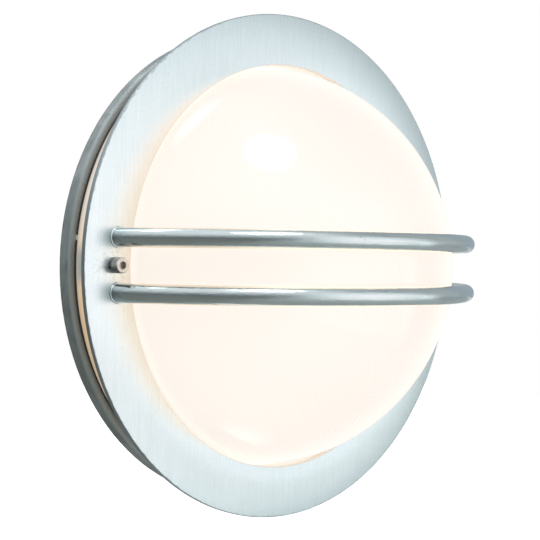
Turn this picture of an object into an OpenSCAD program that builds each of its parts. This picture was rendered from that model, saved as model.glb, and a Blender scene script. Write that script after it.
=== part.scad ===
// Round outdoor wall light with a galvanised front ring, an opal dome and two bowed guard bars.
// Millimetres. The wall is the plane y = 0, the light faces -Y and +Z is up.
// The origin is the middle of the two wall fixing holes, on the wall.

/* [Front ring] */
// Outer diameter of the flat front ring
ring_d = 300; // [292:1:330]
// Width of the ring from its edge to the hole that the dome comes through
ring_w = 30; // [28:0.5:31]
// Thickness of the ring plate
ring_t = 3; // [2:0.5:5]
// Flat broken off the ring's edges
ring_edge = 0.4; // [0.1:0.1:0.8]
// Width of the weld bead round the foot of a bar
weld_leg = 0.7; // [0.4:0.1:1]

/* [Opal dome] */
// Clearance between the dome and the edge of the ring's hole
dome_gap = 2.5; // [1:0.1:3.5]
// How far the dome stands out in front of the ring
dome_rise = 89; // [80:1:92]
// Wall of the dome
dome_wall = 3; // [2:0.5:4]
// How far the dome's flange stays inside the pan's edge
flange_inset = 4; // [2.5:0.25:5]
// Thickness of that flange
flange_t = 3; // [2:0.5:5]
// Fillet between the dome and its flange
flange_fillet = 2; // [0.5:0.5:2.5]

/* [Guard bars] */
// Diameter of a round bar
bar_d = 10.5; // [8:0.5:14]
// Distance between the middles of the two bars
bar_spacing = 29.5; // [26:0.5:44]
// Clearance between a bar and the top of the dome
bar_gap = 2.5; // [1:0.5:10]
// Distance from the ring's hole to the foot of a bar
bar_foot_gap = 2.6; // [0.2:0.1:3]

/* [Back pan] */
// How far the pan stays inside the ring's edge
pan_inset = 8; // [6:0.5:9]
// Height of the pan above the wall
pan_h = 8; // [8:0.5:14]
// Sheet thickness of the pan
pan_t = 1.5; // [1:0.25:2]
// Radius pressed round the pan's front edge
pan_corner = 2; // [0.5:0.25:2]
// Radius of the drain notch in the rim at the bottom
drain_r = 3; // [2:0.5:4]

/* [Seal] */
// Thickness of the flat rubber seal, pressed between pan and flange
seal_t = 1.5; // [1:0.1:3]
// Distance from the dome's outer wall to the seal ring
seal_inset = 3; // [0.5:0.5:4]

/* [Ring screws] */
// Clearance between a spacer tube and the fillet of the dome
spacer_gap = 0.5; // [0.2:0.1:2]
// Nominal diameter of the screws
screw_d = 5; // [4:1:5]
// Length of a screw under its head
screw_len = 35; // [34:0.5:36]
// Diameter of the socket head
head_d = 8.5; // [7:0.5:9]
// Height of the socket head
head_h = 5; // [4:0.5:6]
// Width across the flats of the hexagon socket
socket_af = 4; // [3:0.5:4]
// Depth of the hexagon socket
socket_depth = 2.5; // [2:0.5:3]
// Thickness of the split spring washer
washer_t = 1.6; // [1:0.1:2]
// Length of the spacer tube between flange and ring
spacer_len = 19; // [17:0.5:20]
// Outer diameter of the spacer tube
spacer_d = 12; // [9:0.5:12]
// Height of the clinch nut behind the pan
nut_h = 4; // [3:0.5:5]
// Diameter of the clinch nut
nut_d = 9.5; // [9:0.5:12]

/* [Wall fixing] */
// Distance between the two wall fixing holes, one above the other
fixing_span = 180; // [160:2:190]
// Diameter of a wall fixing hole
fixing_hole_d = 5.5; // [4:0.5:6.5]
// Diameter of the pad that is pressed back to the wall
pad_d = 18; // [14:1:22]
// How much wider the pad's mouth is than its floor
pad_draft = 8; // [4:1:10]

/* [Cable entry] */
// Diameter of the hole in the pan for the grommet
entry_hole_d = 20; // [16:1:24]
// Diameter of the cable that the grommet takes
cable_bore_d = 9; // [6:0.5:10]
// How far the grommet's lips reach past the hole
entry_lip = 2.5; // [1.5:0.5:4]
// Thickness of a grommet lip
entry_lip_t = 2; // [1.5:0.5:3]
// Grommet centre, right of the middle
entry_x = -32; // [-40:1:-28]
// Grommet centre, above the middle
entry_y = -56; // [-62:1:-52]

/* [Lampholder] */
// Height of the lamp's axis above the wall
lamp_w = 46; // [40:1:56]
// Distance from the dome's inner wall to the back of the lampholder
holder_inset = 41; // [37:1:46]
// Length of the lampholder
holder_len = 48; // [46:1:54]
// Diameter of the lampholder's skirt
holder_d = 40; // [36:1:44]
// Depth of the base behind the lampholder's cavity
holder_base = 16; // [14:1:18]
// Width of the bracket strip
bracket_w = 28; // [24:1:34]
// Thickness of the bracket strip
bracket_t = 1.5; // [1:0.25:2]
// Length of the bracket's foot
bracket_foot = 22; // [18:1:24]
// Distance between the bracket's two fixing screws
bracket_screw_span = 16; // [14:1:18]
// Distance between the two screws that hold the lampholder
holder_screw_span = 20; // [18:1:22]

/* [Lamp] */
// Mean radius of the lamp cap's thread
cap_r = 12.65; // [12.5:0.05:12.7]
// Half depth of the thread
thread_depth = 0.55; // [0.4:0.05:0.6]
// Pitch of the thread
thread_pitch = 3.6; // [3.4:0.1:3.8]
// Clearance between lamp cap and threaded sleeve
thread_gap = 0.25; // [0.2:0.05:0.3]
// Sheet thickness of the threaded sleeve
sleeve_t = 0.5; // [0.4:0.05:0.6]
// Diameter of the bulb
globe_d = 60; // [50:1:64]
// Length of the bulb in front of its cap
globe_len = 80; // [72:1:90]
// Diameter of the bulb's neck
neck_d = 27; // [24:1:30]

/* [Terminal block] */
// Distance between neighbouring poles
pole_pitch = 10; // [10:0.5:12]
// Width of the block along its wires
block_w = 17; // [15:1:22]
// Height of the block
block_h = 13; // [12:0.5:16]
// Block centre, right of the middle
block_x = 30; // [26:1:34]
// Block centre, above the middle
block_y = -58; // [-62:1:-54]

/* [Hidden] */
$fn = 96;
// Overshoot of a cut past the face it goes through
past = 1;
// Clearance of a shank in its thread and of a screw in a plain hole
thread_fit = 0.05;
hole_fit = 0.25;
// Clearance between a pressed or pushed-in piece and its hole
push_fit = 0.1;

// Levels above the wall
flange_w = pan_h + seal_t;
spacer_w = flange_w + flange_t;
ring_back_w = spacer_w + spacer_len;
ring_face_w = ring_back_w + ring_t;
ring_hole_r = ring_d / 2 - ring_w;
dome_edge_r = ring_hole_r - dome_gap;
dome_r = (dome_edge_r * dome_edge_r + dome_rise * dome_rise) / (2 * dome_rise);
dome_w = ring_face_w + dome_rise - dome_r;
dome_foot_r = sqrt(dome_r * dome_r - pow(spacer_w - dome_w, 2));
pan_r = ring_d / 2 - pan_inset;
flange_r = pan_r - flange_inset;
plate_w = pan_h;
plate_back_w = pan_h - pan_t;

// Guard bar arc: through both feet on the ring and over the dome at the bar's own height
bar_half = ring_hole_r + bar_foot_gap + bar_d / 2;
bar_crown_w = dome_w + sqrt(dome_r * dome_r - pow(bar_spacing / 2, 2)) + bar_gap + bar_d / 2;
bar_rise = bar_crown_w - ring_face_w;
bar_arc_r = (bar_half * bar_half + bar_rise * bar_rise) / (2 * bar_rise);
bar_arc_w = bar_crown_w - bar_arc_r;

// Places on the plate, as [right, up]
screw_reach = dome_foot_r + flange_fillet + spacer_gap + spacer_d / 2;
screw_places = [[-screw_reach, 0], [screw_reach, 0]];
fixing_places = [[0, -fixing_span / 2], [0, fixing_span / 2]];
holder_x = holder_inset - (dome_foot_r - dome_wall);
bracket_back_x = holder_x - bracket_t;
bracket_screw_x = bracket_back_x - bracket_foot / 2;
bracket_places = [for (s = [-1, 1]) [bracket_screw_x, s * bracket_screw_span / 2]];
earth_right = 40;
earth_up = 10;
earth_place = [block_x + earth_right, block_y + earth_up];
entry_place = [entry_x, entry_y];
block_screw_place = [block_x + pole_pitch / 2, block_y];

// Ring screws: gap in a spring washer, where it points, and the broken edge of a screw
washer_split = 0.9;
washer_split_turn = 200;
screw_edge = 0.4;

// Metal left past the upper screw of the bracket
bracket_edge = 6;

// Clinch nut: its collar fills the plate's hole
nut_collar_r = screw_d / 2 + 0.9;

// Rubber grommet: slope of its front lip and the nose that grips the cable
lip_slope = 1;
nose_wall = 1.6;
nose_foot = 2;
nose_h = 4;

// Screws inside: shank radius, head radius and head height
m4_r = 2;
m4_head_r = 3.9;
m4_head_h = 2.6;
m4_len = 6;
m3_r = 1.5;
m3_head_r = 2.8;
m3_head_h = 2;
m25_r = 1.25;
m25_head_r = 2.3;
m25_head_h = 1.6;
slot_w = 0.9;
slot_depth = 1;
head_taper = 0.8;

// Terminal block: brass tubes in a moulded base, with a screw well over each end
pole_count = 3;
insert_r = 2.4;
insert_bore_r = 1.8;
insert_w = 5.5;
insert_inset = 1;
block_roof = 1;
well_r = 1.9;
well_wall = 1.3;
clamp_r = 1.25;
clamp_head_r = 1.7;
clamp_head_h = 1.6;
clamp_grip = 0.4;
clamp_y = block_w / 2 - 4.3;
pole_x = [for (i = [0:pole_count - 1]) (i - (pole_count - 1) / 2) * pole_pitch];
block_base_h = insert_w + insert_r + block_roof;

// Lampholder and lamp, measured along the lamp's axis from the holder's back
holder_neck_r = holder_d / 2 - 3;
holder_edge = 1.5;
holder_hole_depth = 8;
sleeve_gap = 0.35;
sleeve_floor_r = 8;
sleeve_floor_t = 0.8;
cavity_r = cap_r + thread_depth + thread_gap + sleeve_t + sleeve_gap;
thread_start = holder_base + 8;
thread_turns = 5;
thread_step = 8;
cap_end = holder_len + 2;
contact_t = 0.5;
contact_w = 6;
contact_h = 4;
contact_reach = 6;
contact_lap = 2;
contact_gap = 0.3;
tip_w = holder_base + contact_h + contact_gap;
tip_h = 1;
tip_r = 4.5;
insulator_h = 2.4;
insulator_r = 6.5;
cap_foot_r = cap_r - 3;
shell_w = tip_w + tip_h + insulator_h;
globe_lean = 32;
shoulder_in = 1;
wire_hole_y = 6;
wire_hole_r = 2.4;

// Earth tag, with its barrel along the lead
earth_washer_t = 0.6;
earth_teeth = 10;
earth_tooth_r = 0.55;
tag_t = 0.8;
tag_r = m4_head_r + 0.3;
barrel_wall = 0.6;
barrel_start = 4.6;
barrel_len = 6;
tag_neck_w = 3;

// Inner leads: [right, up, height above the wall] at each bend. The last bends of the live and the
// neutral lead are measured from the middle of the holder's back, the earth lead's from its barrel.
lead_r = 1.2;
lead_sides = 8;
lead_end_in = 2.5;
wire_w = plate_w + insert_w;
block_mouth = block_y + block_w / 2;
barrel_w = plate_w + earth_washer_t + lead_r + barrel_wall;
barrel_mouth = earth_place[0] - barrel_start - barrel_len;
holder_hole_end = holder_x + holder_base - lead_end_in;
live_bends = [[19, -41, 15], [14, -38, 16], [6, -37, 16], [-4, -37, 15], [-14, -36, 14], [-24, -33, 13],
    [-34, -31, 13], [-44, -31, 14], [-54, -31, 16]];
live_rise = [[14, -30, -27], [5, -28, -23], [-2, -24, -19], [-7, -18, -14], [-8, -12, -9], [-7, -8, -5],
    [-5, -6.5, -1.5]];
neutral_bends = [[28, -40, 16], [22, -36, 18], [13, -34, 19.5], [3, -33, 19], [-7, -32, 17],
    [-17, -30, 15], [-27, -28, 14], [-37, -27, 14], [-47, -27, 16]];
neutral_rise = [[21, -27, -27], [11, -26, -24], [2, -21, -21], [-6, -14, -16], [-11, -5, -10],
    [-11, 2, -5], [-8, 5, -1.5]];
earth_bends = [[-19.5, 7, 4], [-16.5, 9, 3.5], [-12.5, 8, 2.5], [-9.5, 5.5, 1.5], [-6.5, 2.5, 0.6]];
holder_back = [holder_x, 0, lamp_w];
barrel_end = [barrel_mouth, earth_place[1], barrel_w];
live_route = concat(in_pole(0), live_bends, from(holder_back, live_rise), in_holder(-wire_hole_y));
neutral_route = concat(in_pole(1), neutral_bends, from(holder_back, neutral_rise),
    in_holder(wire_hole_y));
earth_route = concat(in_pole(2), from(barrel_end, earth_bends), in_barrel());

// Points moved to be measured from a start
function from(start, points) = [for (p = points) start + p];

// Ends of a lead: in a pole of the block, in a wire hole of the holder and in the tag's barrel
function in_pole(pole) = [for (out = [-lead_end_in, 1, 4.5])
    [block_x + pole_x[pole], block_mouth + out, wire_w]];
function in_holder(y) = [[holder_x - 1.5 * lead_end_in, y, lamp_w],
    [(holder_x + holder_hole_end) / 2, y, lamp_w], [holder_hole_end, y, lamp_w]];
function in_barrel() = [for (in = [-2, -0.5, 4]) barrel_end + [in, 0, 0]];

// Turns the working frame, with z away from the wall, into the part's own
module on_wall() {
    rotate([90, 0, 0]) children();
}

// Puts a piece at each place on the plate
module at_places(places) {
    for (p = places) translate([p[0], p[1], 0]) children();
}

// Lays a turned piece along the lamp's axis, z = 0 at the holder's back
module along_lamp() {
    translate([holder_x, 0, lamp_w]) rotate([0, 90, 0]) children();
}

// Round hole right through a plate that lies between two levels
module drill(r, low, high) {
    translate([0, 0, low - past]) cylinder(h = high - low + 2 * past, r = r);
}

// Pan-head screw with a straight slot, its head sitting on z = 0
module slotted_screw(r, len, head_r, head_h) {
    difference() {
        union() {
            translate([0, 0, -len]) cylinder(h = len, r = r);
            cylinder(h = head_h, r1 = head_r, r2 = head_r * head_taper);
        }
        translate([-head_r - past, -slot_w / 2, head_h - slot_depth])
            cube([2 * (head_r + past), slot_w, slot_depth + past]);
    }
}

// Outline of the pan's section: radius against height, with its pressed edge
module pan_section() {
    difference() {
        union() {
            square([pan_r - pan_corner, pan_h]);
            square([pan_r, pan_h - pan_corner]);
            translate([pan_r - pan_corner, pan_h - pan_corner]) circle(r = pan_corner, $fn = 32);
        }
        translate([-past, -past]) square([pan_r - pan_t + past, plate_back_w + past]);
    }
}

// Cone of a wall pad, wide at the plate and narrow at the wall
module pad_cone(lift, inset) {
    low_r = pad_d / 2 - inset;
    translate([0, 0, lift]) cylinder(h = pan_h, r1 = low_r, r2 = low_r + pad_draft / 2);
}

// Drawn steel pan: plate, skirt back to the wall, two pressed pads and the cable hole
module back_pan() {
    color("lightslategray") on_wall() difference() {
        union() {
            rotate_extrude() intersection() {
                pan_section();
                square([pan_r + past, pan_h]);
            }
            at_places(fixing_places) pad_cone(0, 0);
        }
        at_places(fixing_places) {
            pad_cone(pan_t, pan_t / 2);
            drill(fixing_hole_d / 2, 0, pan_t);
        }
        at_places(screw_places) drill(nut_collar_r, plate_back_w, plate_w);
        at_places([entry_place]) drill(entry_hole_d / 2, plate_back_w, plate_w);
        at_places(bracket_places) drill(m4_r + thread_fit, plate_back_w, plate_w);
        at_places([earth_place]) drill(m4_r + thread_fit, plate_back_w, plate_w);
        at_places([block_screw_place]) drill(m25_r + thread_fit, plate_back_w, plate_w);
        translate([0, 2 * pan_t - pan_r, 0]) rotate([90, 0, 0]) cylinder(h = 4 * pan_t, r = drain_r);
    }
}

// Clinch nuts pressed into the plate from behind, one for each ring screw
module clinch_nuts() {
    color("silver") on_wall() at_places(screw_places) difference() {
        union() {
            translate([0, 0, plate_back_w - nut_h]) cylinder(h = nut_h, r = nut_d / 2);
            translate([0, 0, plate_back_w]) cylinder(h = pan_t, r = nut_collar_r);
        }
        drill(screw_d / 2, plate_back_w - nut_h, plate_w);
    }
}

// Flat rubber ring between the plate and the dome's flange
module seal_ring() {
    color("#26292b") on_wall() difference() {
        translate([0, 0, plate_w]) cylinder(h = seal_t, r = flange_r);
        drill(dome_foot_r + seal_inset, plate_w, flange_w);
        at_places(screw_places) drill(screw_d / 2 + hole_fit, plate_w, flange_w);
    }
}

// Rubber grommet: two lips, a groove that holds the plate and a nose round the cable
module cable_grommet() {
    groove_r = entry_hole_d / 2 - push_fit;
    lip_r = entry_hole_d / 2 + entry_lip;
    bore_r = cable_bore_d / 2;
    nose_r = bore_r + nose_wall;
    low = plate_back_w - entry_lip_t;
    high = plate_w + entry_lip_t;
    color("#202224") on_wall() at_places([entry_place]) rotate_extrude() polygon([
        [bore_r, low], [lip_r, low], [lip_r, plate_back_w], [groove_r, plate_back_w],
        [groove_r, plate_w], [lip_r, plate_w], [lip_r - lip_slope, high], [nose_r + nose_foot, high],
        [nose_r, high + nose_h], [bore_r, high + nose_h]]);
}

// Puts a piece at both ends of each pole of the terminal block
module at_poles() {
    for (x = pole_x, s = [-1, 1]) translate([x, s * clamp_y, 0]) children();
}

// Moulded three-pole terminal block, with wire ways through it and screw wells from above
module terminal_block() {
    length = pole_count * pole_pitch;
    color("whitesmoke") on_wall() translate([block_x, block_y, plate_w]) difference() {
        union() {
            translate([-length / 2, -block_w / 2, 0]) cube([length, block_w, block_base_h]);
            at_poles() cylinder(h = block_h, r = well_r + well_wall);
        }
        for (x = pole_x) translate([x, -block_w, insert_w]) rotate([-90, 0, 0])
            cylinder(h = 2 * block_w, r = insert_r + push_fit);
        at_poles() translate([0, 0, insert_w]) cylinder(h = block_h, r = well_r);
        for (s = [-1, 1]) translate([s * pole_pitch / 2, 0, 0]) {
            drill(m25_r + hole_fit, 0, block_base_h);
            translate([0, 0, block_base_h - m25_head_h])
                cylinder(h = block_h, r = m25_head_r + push_fit);
        }
    }
}

// Brass tubes of the terminal block, one to a pole
module terminal_inserts() {
    length = block_w - 2 * insert_inset;
    color("goldenrod") on_wall() translate([block_x, block_y, plate_w + insert_w]) difference() {
        for (x = pole_x) translate([x, 0, 0]) rotate([90, 0, 0]) difference() {
            cylinder(h = length, r = insert_r, center = true);
            cylinder(h = length + past, r = insert_bore_r, center = true);
        }
        at_poles() cylinder(h = insert_r + past, r = clamp_r + thread_fit);
    }
}

// Clamping screws of the terminal block, two to a pole
module terminal_screws() {
    reach = insert_r - insert_bore_r + clamp_grip;
    color("silver") on_wall() translate([block_x, block_y, plate_w + insert_w + insert_r]) at_poles()
        slotted_screw(clamp_r, reach, clamp_head_r, clamp_head_h);
}

// Screw that holds the terminal block to the plate
module terminal_fixing_screw() {
    seat = block_base_h - m25_head_h;
    color("silver") on_wall() at_places([block_screw_place]) translate([0, 0, plate_w + seat])
        slotted_screw(m25_r, seat + pan_t + past, m25_head_r, m25_head_h);
}

// Side outline of the bent bracket: foot on the plate, round bend and upright behind the holder
module bracket_section() {
    bend_r = 2 * bracket_t;
    top = lamp_w - plate_w + holder_screw_span / 2 + bracket_edge;
    translate([-bracket_foot, 0]) square([bracket_foot - bend_r + bracket_t, bracket_t]);
    translate([0, bend_r]) square([bracket_t, top - bend_r]);
    translate([bracket_t - bend_r, bend_r]) intersection() {
        difference() {
            circle(r = bend_r, $fn = 48);
            circle(r = bend_r - bracket_t, $fn = 48);
        }
        translate([0, -bend_r]) square([bend_r, bend_r]);
    }
}

// Steel bracket that carries the lampholder
module holder_bracket() {
    color("lightgray") on_wall() difference() {
        translate([bracket_back_x, 0, plate_w]) rotate([90, 0, 0])
            linear_extrude(bracket_w, center = true) bracket_section();
        at_places(bracket_places) drill(m4_r + hole_fit, plate_w, plate_w + bracket_t);
        along_lamp() for (s = [-1, 1]) translate([s * holder_screw_span / 2, 0, 0])
            drill(m3_r + hole_fit, -bracket_t, 0);
        along_lamp() for (s = [-1, 1]) translate([0, s * wire_hole_y, 0])
            drill(wire_hole_r, -bracket_t, 0);
    }
}

// Screws through the bracket's foot into the plate
module bracket_screws() {
    color("silver") on_wall() at_places(bracket_places) translate([0, 0, plate_w + bracket_t])
        slotted_screw(m4_r, m4_len, m4_head_r, m4_head_h);
}

// Ceramic lampholder, turned about its axis, with wire ways and blind screw holes in its back
module lampholder() {
    outer = holder_d / 2;
    step = holder_base + sleeve_floor_r / 2;
    color("ivory") on_wall() along_lamp() difference() {
        rotate_extrude() polygon([[0, 0], [holder_neck_r, 0], [holder_neck_r, step - 2 * holder_edge],
            [outer, step], [outer, holder_len - holder_edge], [outer - holder_edge, holder_len],
            [cavity_r + holder_edge, holder_len], [cavity_r, holder_len - holder_edge],
            [cavity_r, holder_base], [0, holder_base]]);
        for (s = [-1, 1]) translate([0, s * wire_hole_y, 0]) drill(wire_hole_r, 0, holder_base);
        for (s = [-1, 1]) translate([s * holder_screw_span / 2, 0, -past])
            cylinder(h = holder_hole_depth + past, r = m3_r + thread_fit);
    }
}

// Radius and height along a rounded thread, with the pitch cut into equal steps
function thread_line(r, start) = [for (i = [0:thread_turns * thread_step])
    [r + thread_depth * cos(360 * i / thread_step), start + i * thread_pitch / thread_step]];

function backwards(list) = [for (i = [len(list) - 1:-1:0]) list[i]];

// Threaded metal sleeve in the holder: floor ring, plain wall and rolled thread
module lampholder_sleeve() {
    inner = cap_r + thread_gap;
    peak = inner + thread_depth;
    color("gold") on_wall() along_lamp() rotate_extrude() polygon(concat(
        [[sleeve_floor_r, holder_base], [peak + sleeve_t, holder_base]],
        thread_line(inner + sleeve_t, thread_start),
        backwards(thread_line(inner, thread_start)),
        [[peak, holder_base + sleeve_floor_t], [sleeve_floor_r, holder_base + sleeve_floor_t]]));
}

// Sprung contact tongue on the cavity's floor, bent up under the lamp's tip
module lampholder_contact() {
    color("goldenrod") on_wall() along_lamp() translate([0, contact_w / 2, holder_base])
        rotate([90, 0, 0]) linear_extrude(contact_w) {
            translate([-contact_reach, 0]) square([contact_reach, contact_t]);
            translate([-contact_reach, 0]) square([contact_t, contact_h]);
            translate([-contact_reach, contact_h - contact_t])
                square([contact_reach + contact_lap, contact_t]);
        }
}

// Screws through the bracket into the holder's back
module lampholder_screws() {
    color("silver") on_wall() along_lamp() for (s = [-1, 1])
        translate([s * holder_screw_span / 2, 0, -bracket_t]) rotate([180, 0, 0])
            slotted_screw(m3_r, holder_hole_depth, m3_head_r, m3_head_h);
}

// Screw that earths the pan
module earth_screw() {
    color("silver") on_wall() at_places([earth_place])
        translate([0, 0, plate_w + earth_washer_t + tag_t])
            slotted_screw(m4_r, m4_len, m4_head_r, m4_head_h);
}

// Toothed washer between the earth tag and the plate
module earth_washer() {
    color("darkgray") on_wall() at_places([earth_place]) translate([0, 0, plate_w]) difference() {
        cylinder(h = earth_washer_t, r = m4_head_r);
        drill(m4_r + hole_fit, 0, earth_washer_t);
        for (i = [0:earth_teeth - 1]) rotate(i * 360 / earth_teeth) translate([m4_head_r, 0, 0])
            drill(earth_tooth_r, 0, earth_washer_t);
    }
}

// Ring tag with its crimped barrel, which holds the earth lead
module earth_tag() {
    outer = lead_r + barrel_wall;
    color("silver") on_wall() at_places([earth_place]) translate([0, 0, plate_w + earth_washer_t])
        difference() {
            union() {
                cylinder(h = tag_t, r = tag_r);
                translate([-barrel_start - past, -tag_neck_w / 2, 0])
                    cube([barrel_start, tag_neck_w, tag_t]);
                translate([-barrel_start, 0, outer]) rotate([0, -90, 0])
                    cylinder(h = barrel_len, r = outer);
            }
            drill(m4_r + hole_fit, 0, tag_t);
            translate([past - barrel_start, 0, outer]) rotate([0, -90, 0])
                cylinder(h = barrel_len + 2 * past, r = lead_r + thread_fit);
        }
}

function unit(v) = v / norm(v);

// Direction of a route at each of its points
function route_way(p, i) = unit(p[min(i + 1, len(p) - 1)] - p[max(i - 1, 0)]);

// Insulated lead of one polyhedron, swept along its route
module lead(route, tint) {
    count = len(route);
    up = [0, 0.35, 1];
    points = [for (i = [0:count - 1]) let (w = route_way(route, i), u = unit(cross(up, w)), v = cross(w, u))
        for (k = [0:lead_sides - 1]) let (a = 360 * k / lead_sides)
            route[i] + lead_r * (cos(a) * u + sin(a) * v)];
    sides = [for (i = [0:count - 2], k = [0:lead_sides - 1]) let (n = (k + 1) % lead_sides)
        [i * lead_sides + k, (i + 1) * lead_sides + k, (i + 1) * lead_sides + n, i * lead_sides + n]];
    first = [for (k = [0:lead_sides - 1]) k];
    last = [for (k = [lead_sides - 1:-1:0]) (count - 1) * lead_sides + k];
    color(tint) on_wall() polyhedron(points, concat(sides, [first, last]));
}

module live_lead() {
    lead(live_route, "saddlebrown");
}

module neutral_lead() {
    lead(neutral_route, "steelblue");
}

module earth_lead() {
    lead(earth_route, "yellowgreen");
}

// Sealed bulb in one piece: rolled cap with a rounded thread, insulated tip, neck and ball
module bulb() {
    ball_r = globe_d / 2;
    ball_z = cap_end + globe_len - ball_r;
    neck_r = neck_d / 2;
    cone_r = ball_r * cos(globe_lean) - shoulder_in;
    cone_z = ball_z - ball_r * sin(globe_lean);
    neck_end = cone_z - (cone_r - neck_r) / tan(globe_lean);
    color("white") on_wall() along_lamp() union() {
        rotate_extrude() polygon(concat(
            [[0, tip_w], [tip_r, tip_w], [tip_r, tip_w + tip_h], [insulator_r, tip_w + tip_h],
            [cap_foot_r, shell_w], [cap_r - thread_depth, thread_start - past]],
            thread_line(cap_r, thread_start),
            [[cap_r, cap_end], [neck_r, cap_end], [neck_r, neck_end], [cone_r, cone_z], [0, cone_z]]));
        translate([0, 0, ball_z]) sphere(r = ball_r);
    }
}

// Section of the dome: part of a circular shell, its flange and the fillet between them
module dome_section() {
    difference() {
        union() {
            intersection() {
                translate([0, dome_w]) circle(r = dome_r, $fn = 240);
                translate([0, flange_w]) square([2 * dome_r, 2 * dome_r]);
            }
            translate([0, flange_w]) square([flange_r, flange_t]);
            translate([dome_foot_r - past, spacer_w]) difference() {
                square(flange_fillet + past);
                translate([flange_fillet + past, flange_fillet]) circle(r = flange_fillet, $fn = 32);
            }
        }
        translate([0, dome_w]) circle(r = dome_r - dome_wall, $fn = 240);
    }
}

// Blown opal dome with its flange
module opal_dome() {
    color("oldlace") on_wall() difference() {
        rotate_extrude($fn = 144) intersection() {
            dome_section();
            square(4 * dome_r);
        }
        at_places(screw_places) drill(screw_d / 2 + hole_fit, flange_w, spacer_w);
    }
}

// Flat galvanised ring
module front_ring() {
    low = ring_back_w;
    high = ring_face_w;
    inner = ring_hole_r;
    outer = ring_d / 2;
    color("lightsteelblue") on_wall() difference() {
        rotate_extrude($fn = 144) polygon([[inner + ring_edge, low], [outer - ring_edge, low],
            [outer, low + ring_edge], [outer, high - ring_edge], [outer - ring_edge, high],
            [inner + ring_edge, high], [inner, high - ring_edge], [inner, low + ring_edge]]);
        at_places(screw_places) drill(screw_d / 2 + hole_fit, low, high);
    }
}

// Whole circle of a bowed bar
module bar_hoop(height) {
    translate([0, height, bar_arc_w]) rotate([90, 0, 0]) rotate_extrude($fn = 360)
        translate([bar_arc_r, 0]) circle(r = bar_d / 2);
}

// Bowed round bar, cut off flat where its feet stand on the ring
module guard_bar(height) {
    reach = bar_arc_r + bar_d;
    color("lightsteelblue") on_wall() intersection() {
        bar_hoop(height);
        translate([-reach, height - bar_d, ring_face_w]) cube([2 * reach, 2 * bar_d, reach]);
    }
}

module upper_bar() {
    guard_bar(bar_spacing / 2);
}

module lower_bar() {
    guard_bar(-bar_spacing / 2);
}

// Weld beads round the four feet of the bars
module weld_beads() {
    foot_r = bar_d / 2;
    color("lightgray") on_wall() for (side = [-1, 1], s = [-1, 1]) difference() {
        translate([side * bar_half, s * bar_spacing / 2, ring_face_w])
            cylinder(h = weld_leg, r1 = foot_r + weld_leg, r2 = foot_r + weld_leg / 4);
        bar_hoop(s * bar_spacing / 2);
    }
}

// Tubes that hold the ring off the dome's flange
module spacer_tubes() {
    color("gray") on_wall() at_places(screw_places) difference() {
        translate([0, 0, spacer_w]) cylinder(h = spacer_len, r = spacer_d / 2);
        drill(screw_d / 2 + hole_fit, spacer_w, ring_back_w);
    }
}

// Split spring washers under the screw heads
module spring_washers() {
    color("silver") on_wall() at_places(screw_places) translate([0, 0, ring_face_w]) difference() {
        cylinder(h = washer_t, r = head_d / 2);
        drill(screw_d / 2 + push_fit, 0, washer_t);
        rotate(washer_split_turn) translate([0, -washer_split / 2, -past])
            cube([head_d, washer_split, washer_t + 2 * past]);
    }
}

// Socket head cap screws: turned head with a broken edge, hexagon socket and plain shank
module cap_screws() {
    shank_r = screw_d / 2 - thread_fit;
    outer = head_d / 2;
    socket_r = socket_af / 2 / cos(30);
    color("silver") on_wall() at_places(screw_places) translate([0, 0, ring_face_w + washer_t])
        difference() {
            rotate_extrude() polygon([[0, -screw_len], [shank_r - screw_edge, -screw_len],
                [shank_r, screw_edge - screw_len], [shank_r, 0], [outer, 0],
                [outer, head_h - screw_edge], [outer - screw_edge, head_h], [0, head_h]]);
            translate([0, 0, head_h - socket_depth]) rotate(30)
                cylinder(h = socket_depth + past, r = socket_r, $fn = 6);
        }
}

back_pan();
clinch_nuts();
seal_ring();
cable_grommet();
terminal_block();
terminal_inserts();
terminal_screws();
terminal_fixing_screw();
holder_bracket();
bracket_screws();
lampholder();
lampholder_sleeve();
lampholder_contact();
lampholder_screws();
earth_screw();
earth_washer();
earth_tag();
live_lead();
neutral_lead();
earth_lead();
bulb();
opal_dome();
front_ring();
upper_bar();
lower_bar();
weld_beads();
spacer_tubes();
spring_washers();
cap_screws();
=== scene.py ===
import math
import bpy
from mathutils import Matrix, Vector


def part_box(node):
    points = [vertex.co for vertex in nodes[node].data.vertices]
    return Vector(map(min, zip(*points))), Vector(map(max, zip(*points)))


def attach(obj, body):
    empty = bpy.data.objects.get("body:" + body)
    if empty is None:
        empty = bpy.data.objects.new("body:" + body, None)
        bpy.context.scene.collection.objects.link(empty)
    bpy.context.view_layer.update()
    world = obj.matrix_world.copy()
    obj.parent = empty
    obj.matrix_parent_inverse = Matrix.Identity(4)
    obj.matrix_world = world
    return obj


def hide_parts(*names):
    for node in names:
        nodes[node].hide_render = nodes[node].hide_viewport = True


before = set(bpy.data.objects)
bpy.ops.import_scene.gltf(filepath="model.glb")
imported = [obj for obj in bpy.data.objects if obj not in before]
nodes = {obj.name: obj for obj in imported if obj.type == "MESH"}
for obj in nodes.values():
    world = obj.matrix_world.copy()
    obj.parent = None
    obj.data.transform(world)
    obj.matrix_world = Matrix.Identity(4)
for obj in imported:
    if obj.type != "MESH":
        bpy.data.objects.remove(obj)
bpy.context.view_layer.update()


# Back pan
# The real one is a shallow round pan, drawn from galvanised sheet steel and screwed to the wall.
# Its zinc has gone dull, with grey crystals, faint drawing lines round the skirt and dust at the rim.


def feed(tree, node, name, value):
    """Give one input of a node a link, where the value is a socket, or else a plain value."""
    if isinstance(value, bpy.types.NodeSocket):
        tree.links.new(value, node.inputs[name])
    else:
        node.inputs[name].default_value = value


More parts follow.
